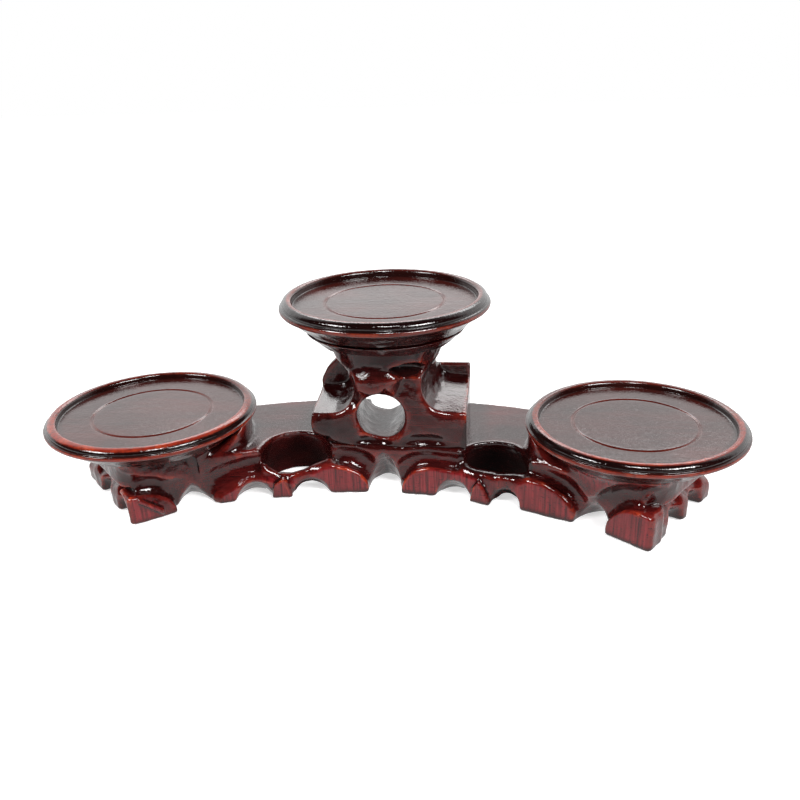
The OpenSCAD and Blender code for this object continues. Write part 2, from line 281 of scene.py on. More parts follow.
class Block:
    """A block of wood as distances on a grid: below zero inside the wood."""

    def __init__(self, low, high, step):
        self.low, self.step = np.array(low, float), step
        count = np.ceil((np.array(high, float) - self.low) / step).astype(int) + 1
        self.axes = [(self.low[i] + step * np.arange(count[i])).astype(np.float32) for i in range(3)]
        self.d = None

    def window(self, centre, reach):
        """Slices of the grid around a point in plan, with their coordinates."""
        spans = []
        for i in range(2):
            a = max(0, int((centre[i] - reach - self.low[i]) / self.step))
            b = min(len(self.axes[i]), int((centre[i] + reach - self.low[i]) / self.step) + 2)
            spans.append(slice(a, max(a + 1, b)))
        spans.append(slice(None))
        x, y, z = (self.axes[i][spans[i]] for i in range(3))
        return tuple(spans), x[:, None, None], y[None, :, None], z[None, None, :]

    def all(self):
        return self.axes[0][:, None, None], self.axes[1][None, :, None], self.axes[2][None, None, :]

    def net(self):
        """Vertices and four-sided faces of the wood's surface."""
        d, shape = self.d, np.array(self.d.shape)
        inside = d < 0
        cells = shape - 1
        stride = np.array([cells[1] * cells[2], cells[2], 1])
        keys, points, quads = [], [], []
        for axis in range(3):
            lo = [slice(None)] * 3
            hi = [slice(None)] * 3
            lo[axis], hi[axis] = slice(None, -1), slice(1, None)
            at = np.argwhere(inside[tuple(lo)] != inside[tuple(hi)])
            o1, o2 = [k for k in range(3) if k != axis]
            at = at[(at[:, o1] > 0) & (at[:, o2] > 0) & (at[:, o1] < cells[o1]) & (at[:, o2] < cells[o2])]
            far = at.copy()
            far[:, axis] += 1
            d0, d1 = d[tuple(at.T)], d[tuple(far.T)]
            p = at.astype(np.float64)
            p[:, axis] += d0 / (d0 - d1)
            ring = []
            for s1, s2 in ((1, 1), (0, 1), (0, 0), (1, 0)):
                c = at.copy()
                c[:, o1] -= s1
                c[:, o2] -= s2
                ring.append(c @ stride)
                keys.append(ring[-1])
                points.append(p)
            ring = np.stack(ring, 1)
            turn = inside[tuple(at.T)] == (axis == 1)
            quads.append(np.where(turn[:, None], ring[:, ::-1], ring))
        keys, points, quads = np.concatenate(keys), np.concatenate(points), np.concatenate(quads)
        cell, which = np.unique(keys, return_inverse=True)
        n = np.bincount(which)
        verts = np.stack([np.bincount(which, points[:, i]) / n for i in range(3)], 1)
        return verts * self.step + self.low, np.searchsorted(cell, quads)


class Skin:
    """A surface that is smoothed and dented after it is cut."""

    def __init__(self, verts, quads):
        self.v, self.q = verts, quads
        pairs = np.concatenate([quads[:, [0, 1]], quads[:, [1, 2]], quads[:, [2, 3]], quads[:, [3, 0]]])
        pairs = np.unique(np.sort(pairs, 1), axis=0)
        self.i = np.concatenate([pairs[:, 0], pairs[:, 1]])
        self.j = np.concatenate([pairs[:, 1], pairs[:, 0]])
        self.n = np.maximum(np.bincount(self.i, minlength=len(verts)), 1)

    def mean(self, values):
        """The mean of each vertex's neighbours."""
        if values.ndim == 1:
            return np.bincount(self.i, values[self.j], minlength=len(self.v)) / self.n
        return np.stack([self.mean(values[:, k]) for k in range(values.shape[1])], 1)

    def smooth(self):
        for _ in range(SMOOTH_ROUNDS):
            for amount in (SMOOTH_OUT, SMOOTH_BACK):
                self.v = self.v + amount * (self.mean(self.v) - self.v)

    def normals(self):
        a, b, c, d = (self.v[self.q[:, k]] for k in range(4))
        face = np.cross(c - a, d - b)
        out = np.zeros_like(self.v)
        for k in range(4):
            for m in range(3):
                out[:, m] += np.bincount(self.q[:, k], face[:, m], minlength=len(self.v))
        return out / np.maximum(np.linalg.norm(out, axis=1), TINY)[:, None]

    def bend(self, rounds):
        """How sharply the surface bends, in 1/mm: above zero on edges, below zero in hollows."""
        n = self.normals()
        sag = -((self.mean(self.v) - self.v) * n).sum(1)
        # Over edges of one length, the sum of both bends is four times the sag over that length squared
        c = sag * 4 / np.maximum(self.mean(self.edge_squared()), TINY)
        for _ in range(rounds):
            c = 0.5 * c + 0.5 * self.mean(c)
        return c

    def edge_squared(self):
        """The mean squared length of each vertex's edges."""
        span = ((self.v[self.i] - self.v[self.j]) ** 2).sum(1)
        return np.bincount(self.i, span, minlength=len(self.v)) / self.n


# Places on the board

class Face:
    """A place on an upright face: u runs along the face, w runs into the wood."""

    def __init__(self, at, inward):
        self.at, self.inward = np.array(at), np.array(inward) / np.linalg.norm(inward)
        self.along = np.array([self.inward[1], -self.inward[0]])

    def local(self, x, y):
        dx, dy = x - self.at[0], y - self.at[1]
        return dx * self.along[0] + dy * self.along[1], dx * self.inward[0] + dy * self.inward[1]


def arc_point(angle, r):
    s, c = sine_cosine(angle)
    return np.array([r * s, ARC_Y + r * c])


def front_face(angle, r=FRONT_R):
    return Face(arc_point(angle, r), sine_cosine(angle))


def back_face(angle):
    s, c = sine_cosine(angle)
    return Face(arc_point(angle, BACK_R), (-s, -c))


def end_face(side, back):
    corner, turn = RIGHT_END if side > 0 else LEFT_END
    s, c = sine_cosine(turn)
    at = arc_point(side * corner, FRONT_R) + back * np.array([side * s, c])
    return Face(at, (-side * c, s))


def arch(u, z, left, right, height):
    """Distance from a half-ellipse that stands on the ground."""
    least_q, least_slope = 1e-4, 1e-3
    half = np.where(u < 0, left, right)
    q = np.sqrt((u / half) ** 2 + (z / height) ** 2) + least_q
    slope = np.sqrt((u / half ** 2) ** 2 + (z / height ** 2) ** 2) / q
    return (q - 1) / np.maximum(slope, least_slope)


def hole_distance(x, y, z, hole):
    angle, back, r, slope, _ = hole
    s, c = sine_cosine(slope)
    u, w = front_face(angle, FRONT_R + back).local(x, y)
    return np.hypot(u, w * c + (z - BOARD_T) * s) - r


# Cuts and forms of the board

def cut_notch(block, face, r, h, point=0.0, slope=NOTCH_SLOPE):
    """A scoop that runs down from the face to the ground, round or pointed at the top."""
    reach, deep, soft = 42, 40, 1.4
    s, c = sine_cosine(slope)
    span, x, y, z = block.window(face.at, reach)
    u, w = face.local(x, y)
    big = r + point
    tall = math.sqrt(big ** 2 - point ** 2)
    p = (z - h + tall / c) * c + w * s
    notch = np.where(p > 0, np.hypot(np.abs(u) + point, p) - big, np.abs(u) - r)
    notch = np.maximum(notch, w - deep)
    block.d[span] = smax(block.d[span], -notch, soft)


def cut_cove(block, face, shape, middle, r, depth=0.3, soft=2.2):
    """The hollow that a round gouge leaves along the outside of an arch."""
    margin = 10
    span, x, y, z = block.window(face.at, max(shape[:2]) + middle + r + margin)
    u, w = face.local(x, y)
    ring = np.hypot(arch(u, z, *shape) - middle, w - depth) - r
    block.d[span] = smax(block.d[span], -ring, soft)


def add_toe(block, face, shape, bevel):
    """A toe with a flat, bevelled face under an arch."""
    margin, edge, back_edge, bevel_edge, bevel_slope, join = 8, 0.7, 0.5, 0.6, 0.707, 1.0
    span, x, y, z = block.window(face.at, max(shape[:2]) + margin)
    u, w = face.local(x, y)
    outline = arch(u, z, *shape)
    toe = smax(smax(outline, -w, edge), w - TOE_LENGTH, back_edge)
    toe = smax(toe, (outline - w + bevel) * bevel_slope, bevel_edge)
    block.d[span] = smin(block.d[span], toe, join)


def cut_toe_face(block, face, cut):
    """Take the part of a toe's face above a slanting line back, and leave a raised ridge along the line."""
    reach, edge, ridge_r, ridge_out, ridge_from, ridge_to, join = 24, 0.5, 1.3, 0.2, 0.5, 11.5, 0.6
    u0, z0, rise, recede = cut
    span, x, y, z = block.window(face.at, reach)
    u, w = face.local(x, y)
    above = (z - z0 - rise * (u - u0)) / math.hypot(1, rise)
    block.d[span] = smax(block.d[span], recede * above - w, edge)
    ends = np.maximum(u0 + ridge_from - u, u - u0 - ridge_to)
    ridge = smax(np.hypot(above, w + ridge_out) - ridge_r, ends, join)
    block.d[span] = smin(block.d[span], ridge, join)


def add_small_toe(block, face, corners, ridge):
    """A toe with a many-sided face: corners along and above the ground, and the foot of its ridge."""
    reach, length, stands_out, edge, join = 22, 7, 2.2, 0.3, 0.4
    right_slope, left_slope = 0.9, -0.12
    span, x, y, z = block.window(face.at, reach)
    u, w = face.local(x, y)
    toe = w - length
    for (u1, z1), (u2, z2) in zip(corners, corners[1:]):
        outside = ((z - z1) * (u2 - u1) - (u - u1) * (z2 - z1)) / math.hypot(u2 - u1, z2 - z1)
        toe = smax(toe, outside, edge)
    peak, top = corners[2]
    beyond = u - peak - (ridge - peak) * (1 - z / top)
    front = np.maximum(right_slope * beyond, left_slope * beyond) - stands_out
    block.d[span] = smin(block.d[span], smax(toe, front - w, edge), join)


def add_knob(block, face):
    """A rounded foot that stands out of the cove at an end."""
    half, height, straight, margin = 6.4, 13.0, 4, 16
    round_face, back_edge, join = 7.0, 0.5, 2.0
    span, x, y, z = block.window(face.at, half + margin)
    u, w = face.local(x, y)
    body = np.sqrt((u / half) ** 2 + (np.maximum(z - straight, 0) / (height - straight)) ** 2) - 1
    knob = smax(body * half, -w, round_face)
    block.d[span] = smin(block.d[span], smax(knob, w - TOE_LENGTH, back_edge), join)


def add_lip(block, hole, lip):
    """The thick rounded rim of wood left in front of a wing hole."""
    margin, top_slope, front, overhang, round_top, join = 9, 0.8, 1.2, 1.5, 3.4, 3.0
    angle, _, r, _, far = hole
    span, x, y, z = block.window(front_face(angle).at, r + margin)
    u, w = front_face(angle).local(x, y)
    top = np.interp(u, *lip)
    rim = smax(smax((z - top) * top_slope, front - w, round_top), w - far, round_top)
    rim = smax(rim, np.abs(u) - r - overhang, join)
    block.d[span] = smin(block.d[span], rim, join)


def add_seats(d, x, y, z):
    """A raised, waisted seat under each side tray."""
    join, top_edge = 4.0, 0.6
    waist = np.interp(z, SEAT_HEIGHTS, SEAT_RADII)
    for side in SIDES:
        out = np.hypot(x - side * SIDE_TRAY_X, y - SIDE_TRAY_Y)
        seat = np.maximum(out - waist, np.maximum(z - SEAT_TOP, SEAT_HEIGHTS[0] - z))
        d = smin(d, seat, join)
    return smax(d, z - SEAT_TOP, top_edge)


def add_collars(d, x, y, z, r):
    """A collar of the board's wood round the inner half of each side tray's skirt."""
    collar_r, foot, inner, lip_back = 48.6, 20.0, 10.0, 3.0
    foot_edge, side_edge, lip_edge, back_edge, join = 0.6, 4.0, 9.0, 2.0, 3.0
    skirt_r, skirt_slope, skirt_h = 42.3, 1.16, 1.5
    skirt = skirt_r + skirt_slope * (z - SEAT_TOP - skirt_h)
    for side in SIDES:
        out = np.hypot(x - side * SIDE_TRAY_X, y - SIDE_TRAY_Y)
        collar = smax(np.maximum(out - collar_r, skirt - out), foot - z, foot_edge)
        collar = smax(collar, inner + side * (x - side * SIDE_TRAY_X), side_edge)
        collar = smax(smax(collar, LIP_R + lip_back - r, lip_edge), r - BACK_R, back_edge)
        d = smin(d, collar, join)
    return d


def carve_board():
    lip_edge, end_edge, ground_edge, bite_edge, hole_edge = 2.6, 3.2, 1.4, 1.4, 2.4
    cove_out, cove_z, cove_r, cove_edge = 3.0, 18.5, 10.5, 2.0
    hole_front = 2.2
    block = Block(*BOARD_GRID)
    x, y, z = block.all()
    r = np.sqrt(x ** 2 + (y - ARC_Y) ** 2)
    d = smax(np.maximum(r - BACK_R, z - BOARD_T), LIP_R - r, lip_edge)
    ends = [end_face(side, 0).local(x, y)[1] for side in SIDES]
    for w in ends:
        end_cove = np.hypot(w + cove_out, z - cove_z) - cove_r
        d = smax(np.maximum(d, -w), -end_cove, cove_edge)
    d = add_collars(add_seats(d, x, y, z), x, y, z, r)
    block.d = d.astype(np.float32)
    for angle, left, right, height, middle, radius, _ in FRONT_TOES:
        cut_cove(block, front_face(angle), (left, right, height), middle, radius)
    angle, *shape = FRONT_TOES[1][:4]
    cut_cove(block, front_face(angle), shape, *UPPER_COVE)
    block.d = smax(block.d, BITE_R - np.hypot(x - BITE_X, y - BITE_Y), bite_edge)
    for angle, left, right, height, _, _, bevel in FRONT_TOES:
        add_toe(block, front_face(angle), (left, right, height), bevel)
    cut_toe_face(block, front_face(FRONT_TOES[0][0]), TOE_CUT)
    for side, back in END_KNOBS:
        add_knob(block, end_face(side, back))
    for hole, lip in ((LEFT_HOLE, LEFT_LIP), (RIGHT_HOLE, RIGHT_LIP)):
        distance = hole_distance(x, y, z, hole)
        block.d = smax(block.d, -np.maximum(distance, FRONT_R + hole_front - r), hole_edge)
        add_lip(block, hole, lip)
        block.d = smax(block.d, -np.maximum(distance, FRONT_R + hole[4] - r), hole_edge)
    for angle, *notch in FRONT_NOTCHES:
        cut_notch(block, front_face(angle), *notch)
    for angle, corners, ridge in SMALL_TOES:
        add_small_toe(block, front_face(angle), corners, ridge)
    for angle in BACK_NOTCHES:
        cut_notch(block, back_face(angle), *BACK_NOTCH)
    for side, back in END_NOTCHES:
        cut_notch(block, end_face(side, back), *END_NOTCH)
    for w in ends:
        block.d = smax(block.d, -w, end_edge)
    block.d = smax(block.d, -z, ground_edge)
    return block


# Cuts and forms of the pedestal

def shell(x, z, cx, cz, wide, below, above):
    """Distance from a scoop with a broad, nearly level floor and a tight turn up into its wall."""
    squareness, size = 3, 15.0
    tall = np.where(z < cz, below, above)
    q = np.abs((x - cx) / wide) ** squareness + np.abs((z - cz) / tall) ** squareness
    return (q ** (1 / squareness) - 1) * size


def blob(x, y, z, centre, radii):
    """A rounded lump, in about millimetres from its surface."""
    q = [(v - c) / k for v, c, k in zip((x, y, z), centre, radii)]
    return (np.sqrt(q[0] ** 2 + q[1] ** 2 + q[2] ** 2) - 1) * min(radii)


def cut_scallops(d, x, behind, z):
    """Scoop each side out, bevel the scoop's edge, and leave a shoulder and a wall behind it."""
    inner, wall_t = 20.5, 4.0
    bevel, bevel_slope, bevel_scale, bevel_depth = 2.3, 1.6, 0.5, 4
    deep_edge, scoop_edge, bevel_edge, shoulder_edge, wall_edge = 1.4, 1.2, 1.0, 2.4, 1.2
    wide = SCALLOP_R - SCALLOP_TAPER * behind
    for side, wall, shoulder_z, floor_z, rise, deep in SCALLOPS:
        wall_z = np.minimum.reduce([z0 + slope * (x - x0) for x0, z0, slope in wall])
        below = SCALLOP_Z - floor_z - rise * behind
        scoop = shell(x, z, PEDESTAL_MIDDLE + side * SCALLOP_APART, SCALLOP_Z, wide, below, wide)
        d = smax(d, -smax(scoop, behind - deep, deep_edge), scoop_edge)
        edge = (scoop - bevel + bevel_slope * behind) * bevel_scale
        d = smax(d, -np.maximum(edge, behind - bevel_depth), bevel_edge)
        beside = (x - PEDESTAL_MIDDLE) * side - inner
        d = smax(d, np.minimum(beside, z - shoulder_z), shoulder_edge)
        d = smax(d, np.minimum(np.minimum(beside, behind - deep + wall_t), z - wall_z), wall_edge)
    return d


def add_neck(d, x, y, z):
    """The oval neck and the flare that carries the middle tray, with the ledge under the flare."""
    neck_join, ledge_edge, flare_join = 3.0, 0.6, 1.6
    half = np.interp(z, NECK_HEIGHTS, NECK_WIDTHS)
    neck = (np.hypot(x / half, (y - MIDDLE_TRAY_Y) / NECK_DEPTH) - 1) * NECK_DEPTH
    d = smin(d, np.maximum(neck, np.maximum(NECK_FOOT - z, z - PEDESTAL_TOP)), neck_join)
    out = np.hypot(x, y - MIDDLE_TRAY_Y)
    ledge = FLARE_Z + LEDGE_RISE * np.maximum(MIDDLE_TRAY_Y - y, 0)
    flare = smax(out - (FLARE_R + FLARE_SLOPE * (z - FLARE_Z)), ledge - z, ledge_edge)
    return smin(d, np.maximum(flare, z - PEDESTAL_TOP), flare_join)


def cut_eye(d, x, y, z):
    """The through hole, cut a little aslant, and its bevel."""
    start_y, edge, bevel_depth, bevel_edge = -14.0, 1.2, 4, 1.4
    behind = y - PEDESTAL_FRONT
    eye = np.hypot(x - EYE_X + EYE_SLANT * behind, z - EYE_Z)
    d = smax(d, -np.maximum(eye - EYE_R, start_y - y), edge)
    return smax(d, -np.maximum(eye - (EYE_BEVEL_R - behind), np.abs(behind) - bevel_depth), bevel_edge)


def cut_undercut(d, x, y, z):
    """The slant and the scoop that the left wing hole leaves in the pedestal's foot."""
    foot_x, foot_z, fall, recede, scale, edge = -17.0, 24.8, 0.40, 1.8, 0.48, 1.0
    scoop_top, scoop_edge = 28.0, 2.0
    slant = foot_z - fall * (x - foot_x) - z - recede * (y - PEDESTAL_FRONT)
    d = smax(d, slant * scale, edge)
    return smax(d, -np.maximum(hole_distance(x, y, z, LEFT_HOLE), z - scoop_top), scoop_edge)


def carve_pedestal():
    recess_x, recess_half, recess_z, recess_rise = 11.5, 6.5, 44.0, 0.19
    recess_round, recess_edge, brow_edge, nose_join, hollow_edge, end_edge = 2.0, 1.6, 2.2, 3.2, 1.6, 0.4
    block = Block(*PEDESTAL_GRID)
    x, y, z = block.all()
    behind = y - PEDESTAL_FRONT
    d = np.maximum(np.maximum(PEDESTAL_LEFT - x, x - PEDESTAL_RIGHT), np.maximum(-behind, y - PEDESTAL_BACK))
    d = np.maximum(d, z - PEDESTAL_BLOCK_TOP)
    # The flat cut back between the nose and the right scallop
    recess = smax(np.abs(x - recess_x) - recess_half, behind - recess_rise * (z - recess_z), recess_round)
    d = smax(d, -recess, recess_edge)
    d = cut_scallops(d, x, behind, z)
    d = add_neck(d, x, y, z)
    d = smax(d, -blob(x, y, z, *BROW_HOLLOW), brow_edge)
    d = smin(d, blob(x, y, z, *NOSE), nose_join)
    d = cut_eye(d, x, y, z)
    for centre, radii in FOOT_HOLLOWS + [MOUTH_HOLLOW]:
        d = smax(d, -blob(x, y, z, centre, radii), hollow_edge)
    d = cut_undercut(d, x, y, z)
    d = smax(d, BOARD_T - z, end_edge)
    d = smax(d, z - PEDESTAL_TOP, end_edge)
    block.d = d.astype(np.float32)
    return block


# Meshes

def make_mesh(name, verts, quads, layers):
    mesh = bpy.data.meshes.new(name)
    verts = np.asarray(verts, np.float32) * MM
    mesh.vertices.add(len(verts))
    mesh.vertices.foreach_set("co", verts.ravel())
    mesh.loops.add(quads.size)
    mesh.loops.foreach_set("vertex_index", quads.ravel().astype(np.int32))
    mesh.polygons.add(len(quads))
    mesh.polygons.foreach_set("loop_start", np.arange(0, quads.size, 4, dtype=np.int32))
    mesh.polygons.foreach_set("use_smooth", np.ones(len(quads), bool))
    mesh.update(calc_edges=True)
    mesh.validate()
    for key, values in layers.items():
        layer = mesh.attributes.new(key, "FLOAT", "POINT")
        layer.data.foreach_set("value", np.asarray(values, np.float32))
    obj = bpy.data.objects.new(name, mesh)
    bpy.context.scene.collection.objects.link(obj)
    return obj


def painted_shade_and_joint(v):
    """1 where shade is painted: in the wing holes and on their rims, along the ground and at the flare under
    the middle tray; and at the dark joint.
    """
    ground, to_the_right, flare = (3.8, 0.8), (-40.0, 10.0), (72.0, 75.0)
    near_hole, behind_face, near_joint, joint_half = (3.6, 1.6), (1.2, 3.4), (3.4, 1.2), (52.0, 44.0)
    x, y, z = v.T
    behind = np.hypot(x, y - ARC_Y) - FRONT_R
    # Painted shade along the ground, stronger towards the right, and at the flare under the middle tray
    thick = step_curve(*ground, z) * (0.5 + 0.45 * step_curve(*to_the_right, x))
    thick = np.maximum(thick, 0.6 * step_curve(*flare, z))
    # Painted shade in the wing holes and on their rims, deeper in the right one
    for hole, level in ((LEFT_HOLE, 0.5), (RIGHT_HOLE, 1.0)):
        rim = step_curve(*near_hole, hole_distance(x, y, z, hole)) * step_curve(*behind_face, behind)
        thick = np.maximum(thick, level * rim)
    joint = step_curve(*near_joint, np.abs(z - BOARD_T)) * step_curve(*joint_half, np.abs(x))
    return np.maximum(thick, 0.8 * joint)


def painted_ridge_highlight(v):
    """1 along the ridge across the leftmost toe's face, where a highlight is painted in the worn colour."""
    start, stop, half_width, reach = (0.0, 2.0), (12.5, 10.5), (1.3, 0.5), (4.0, 2.0)
    u0, z0, rise, _ = TOE_CUT
    u, w = front_face(FRONT_TOES[0][0]).local(v[:, 0], v[:, 1])
    above = np.abs(v[:, 2] - z0 - rise * (u - u0)) / math.hypot(1, rise)
    along = step_curve(*start, u - u0) * step_curve(*stop, u - u0)
    return step_curve(*half_width, above) * along * step_curve(*reach, np.abs(w))


def board_sawn(v, n):
    """1 on the flat faces of the toes, which were sawn and not gouged."""
    facing, near_face = (0.75, 0.95), (FRONT_R + 1.6, FRONT_R + 0.6)
    r = np.hypot(v[:, 0], v[:, 1] - ARC_Y)
    out = (v[:, 0] * n[:, 0] + (v[:, 1] - ARC_Y) * n[:, 1]) / np.maximum(r, 1)
    return step_curve(*facing, -out) * step_curve(*near_face, r)


def pedestal_sawn(v, n):
    """1 on the pedestal's right face."""
    near_face = (PEDESTAL_RIGHT - 1.0, PEDESTAL_RIGHT - 0.5)
    return step_curve(*FLAT, n[:, 0]) * step_curve(*near_face, v[:, 0])


def planed(n):
    """1 on level faces, which were planed."""
    return step_curve(*FLAT, np.abs(n[:, 2]))


def finish_carving(block, name, sawn):
    """Smooth the cut surface, then add the waves and gouge cuts of hand work."""
    skin = Skin(*block.net())
    skin.smooth()
    n = skin.normals()
    dent = np.zeros(len(skin.v), np.float32)
    for width, height, seed in WAVES:
        dent += height * noise(skin.v / width, seed)
    rough = 1 - np.clip(np.maximum(sawn(skin.v, n), planed(n)), 0, 1)
    gouged = cuts(skin.v / GOUGE_WIDTH, GOUGE_SEED) - GOUGE_MEAN
    dent = dent * (SAWN_WAVES + (1 - SAWN_WAVES) * rough) + rough * GOUGE_DEPTH * gouged
    skin.v = skin.v + n * dent[:, None]
    n = skin.normals()
    sharp, broad = skin.bend(SHARP_ROUNDS), skin.bend(BROAD_ROUNDS)
    high = skin.v[:, 2]
    # thick is painted shade (wing holes, ground, flare) and the dark joint; it keeps wear off and adds to
    # the hollow layer
    thick, ridge = painted_shade_and_joint(skin.v), painted_ridge_highlight(skin.v)
    fresh = np.maximum(thick, 0.6 * step_curve(*LESS_WORN, high))
    # Painted shade in sharp creases and broad hollows
    hollow = np.maximum(0.8 * step_curve(*SHARP_CREASE_SHADE, -sharp), 0.5 * step_curve(*BROAD_HOLLOW_SHADE, -broad))
    layers = {
        # worn is wear on sharp edges, and a painted highlight along the leftmost toe's ridge, which is kept
        # free of painted shade
        "worn": np.maximum(step_curve(*WORN_BEND, sharp) * (1 - fresh), ridge),
        "proud": step_curve(*THIN_BEND, broad) * (1 - thick),
        "hollow": np.maximum(hollow, 0.8 * thick) * (1 - ridge),
        "sawn": sawn(skin.v, n) * step_curve(*STREAKS_FROM, high),
    }
    return make_mesh(name, skin.v, skin.q, layers)


def tray_profile(crest):
    """Radius and height above the underside, from the middle of the floor to the middle of the underside."""
    floor = TRAY_FLOOR
    inner_round, outer_wide, outer_tall, corner_round = 1.8, 3.1, 2.6, 0.4
    floor_start, floor_end, corner_r, ring_margin, bead_clear, steepest = 2, 42.6, 43.3, 1.2, 13.15, 0.95
    pts = [(0.0, floor)]
    pts += [(r, floor) for r in np.linspace(floor_start, RING_R - ring_margin, 14)]
    pts += [(RING_R + dr, floor - dh) for dr, dh in RING_GROOVE]
    pts += [(r, floor) for r in np.linspace(RING_R + ring_margin, floor_end, 9)]
    for t in np.linspace(0, 90, 5)[1:]:
        s, c = sine_cosine(t)
        pts.append((corner_r + corner_round * s, floor + corner_round * (1 - c)))
    for t in np.linspace(0, 90, 9):
        s, c = sine_cosine(t)
        pts.append((CREST_R - inner_round * c, crest - inner_round + inner_round * s))
    for t in np.linspace(90, -10, 15)[1:]:
        s, c = sine_cosine(t)
        pts.append((CREST_R + outer_wide * c, crest - outer_tall + outer_tall * s))
    start = math.degrees(math.asin(min(steepest, (crest - bead_clear) / BEAD_ROUND)))
    for t in np.linspace(start, -100, 15):
        s, c = sine_cosine(t)
        pts.append((BEAD_R + BEAD_ROUND * c, BEAD_H + BEAD_ROUND * s))
    for t in np.linspace(0, 1, 14):
        pts.append((SKIRT_R - SKIRT_IN * t, SKIRT_H - SKIRT_DOWN * t))
    return np.array(pts + TRAY_FOOT)


def knife_cuts(a, h, seed):
    """Depth of the knife cuts round a skirt, at angles a and heights h."""
    skirt_r, deepest = 44, 0.75
    shifts, tilts, heights = (-0.4, 0.4), (-0.2, 0.2), (2.0, 7.4)
    widths, half_heights = (6.5, 12.0), (2.2, 3.6)
    rng = np.random.default_rng(seed)
    depth = np.zeros_like(h)
    for k in range(KNIFE_CUTS):
        middle = 2 * math.pi * (k + rng.uniform(*shifts)) / KNIFE_CUTS
        height = rng.uniform(*heights)
        wide, tall = rng.uniform(*widths), rng.uniform(*half_heights)
        tilt = rng.uniform(*tilts)
        along = ((a - middle + math.pi) % (2 * math.pi) - math.pi) * skirt_r
        above = h - height - tilt * along
        depth = np.maximum(depth, deepest * (1 - (along / wide) ** 2 - (above / tall) ** 2))
    return depth


def turn_tray(name, middle, seed, rim, red_to, crest_red_and_light, shade, spread):
    skirt_top, skirt_foot, deepest_cut, unlit_back_red, lit_front_half = 8.4, 0.9, 0.7, 0.3, (0.5, -0.2)
    profile = tray_profile(rim)
    x, y, z = middle
    rows = len(profile)
    angle = np.linspace(0, 2 * math.pi, TRAY_SEGMENTS, endpoint=False)
    r = np.repeat(profile[:, 0][:, None], TRAY_SEGMENTS, 1)
    h = np.repeat(profile[:, 1][:, None], TRAY_SEGMENTS, 1)
    a = np.repeat(angle[None, :], rows, 0)
    skirt = (profile[:, 1] < skirt_top) & (profile[:, 1] > skirt_foot)
    r = r - np.where(skirt[:, None], np.clip(knife_cuts(a, h, seed), 0, deepest_cut), 0)
    p = np.stack([x + spread * r * np.cos(a), y + spread * r * np.sin(a), z + h], 2).reshape(-1, 3)
    p[:, 2] += sum(height * noise(p / width, seed + extra) for width, height, extra in TRAY_WAVES)
    here = np.arange(rows * TRAY_SEGMENTS).reshape(rows, TRAY_SEGMENTS)
    beside = np.roll(here, -1, 1)
    quads = np.stack([here[:-1], here[1:], beside[1:], beside[:-1]], 2).reshape(-1, 4)
    # The worn red of crest and bead is strongest on the front half, which the lamps light: painted light
    red = crest_red_and_light * (unlit_back_red + (1 - unlit_back_red) * step_curve(*lit_front_half, np.sin(a).reshape(-1)))
    return make_mesh(name, p, quads, tray_layers(r.reshape(-1), h.reshape(-1), rim, red_to, red, shade))


def tray_layers(rad, high, rim, red_to, red, shade):
    """Where the lacquer is worn or thin on a tray, where shade is painted on it, and its centre mark."""
    ring_wide, ring_narrow, mark_r, edge_r, edge_wide = 0.65, 0.45, 1.3, 44.9, 0.6
    corner_from, corner_to, crest_from = (42.6, 43.3), (44.4, 43.8), (12.4, 13.0)
    outside_from, bead_out, bead_top, bead_foot = (10.8, 11.3), (48.6, 49.5), (11.2, 10.8), (9.0, 9.8)
    skirt_from, skirt_inner_r = (9.4, 8.4), 30
    floor = (high > TRAY_FLOOR - 1) * (rad < RIM_INNER_R)
    ring = np.exp(-((rad - RING_R) / ring_wide) ** 2) * floor
    ring_core = np.exp(-((rad - RING_R) / ring_narrow) ** 2) * floor
    mark = np.exp(-(rad / mark_r) ** 2) * floor
    corner = step_curve(*corner_from, rad) * step_curve(*corner_to, rad)
    inner_edge = np.exp(-((rad - edge_r) / edge_wide) ** 2) * (high > rim - 1.0)
    crest = step_curve(*crest_from, high) * step_curve(red_to + 0.5, red_to - 0.5, rad)
    crest = crest * step_curve(RIM_INNER_R, RIM_INNER_R + 0.5, rad)
    # The rim's outer side past the red crest takes painted shade
    outside = step_curve(red_to - 0.2, red_to + 0.4, rad) * step_curve(*outside_from, high)
    bead = step_curve(*bead_out, rad) * step_curve(*bead_top, high) * step_curve(*bead_foot, high)
    # The skirt's underside takes painted shade, as much as shade says
    under = step_curve(*skirt_from, high) * (rad > skirt_inner_r)
    worn = [0.35 * red * bead, 0.7 * red * inner_edge, 0.45 * red * crest, 0.2 * ring]
    proud = [red * crest, 0.65 * red * bead, 0.6 * ring]
    # Painted shade in the ring's groove, the floor's corner, on the rim's outer side and under the skirt;
    # mark is the floor's own centre mark
    hollow = [0.8 * ring_core, 0.8 * corner, outside, shade * under, 0.35 * mark]
    return {
        "worn": np.maximum.reduce(worn),
        "proud": np.maximum.reduce(proud),
        "hollow": np.maximum.reduce(hollow),
        "sawn": 0 * rad,
    }


# Materials

class Graph:
    """Shader nodes of a material or of the world."""

    def __init__(self, tree):
        self.tree = tree

    def new(self, kind, **values):
        node = self.tree.nodes.new(kind)
        for key, value in values.items():
            setattr(node, key, value)
        return node

    def put(self, value, socket):
        """Link an output to a socket, or give the socket a value of its own."""
        if hasattr(value, "is_linked"):
            self.tree.links.new(value, socket)
        else:
            socket.default_value = value

    def add(self, kind, inputs, output, **values):
        """A new node with its inputs filled, and the output that is wanted."""
        node = self.new(kind, **values)
        for key, value in inputs.items():
            self.put(value, node.inputs[key])
        return node.outputs[output]

    def math(self, operation, a, b):
        return self.add("ShaderNodeMath", {0: a, 1: b}, 0, operation=operation)

    def range(self, value, start, end=(0.0, 1.0)):
        """Carry a value smoothly from one range to another."""
        inputs = {"Value": value, "From Min": start[0], "From Max": start[1]}
        inputs.update({"To Min": end[0], "To Max": end[1]})
        return self.add("ShaderNodeMapRange", inputs, "Result", interpolation_type="SMOOTHSTEP")


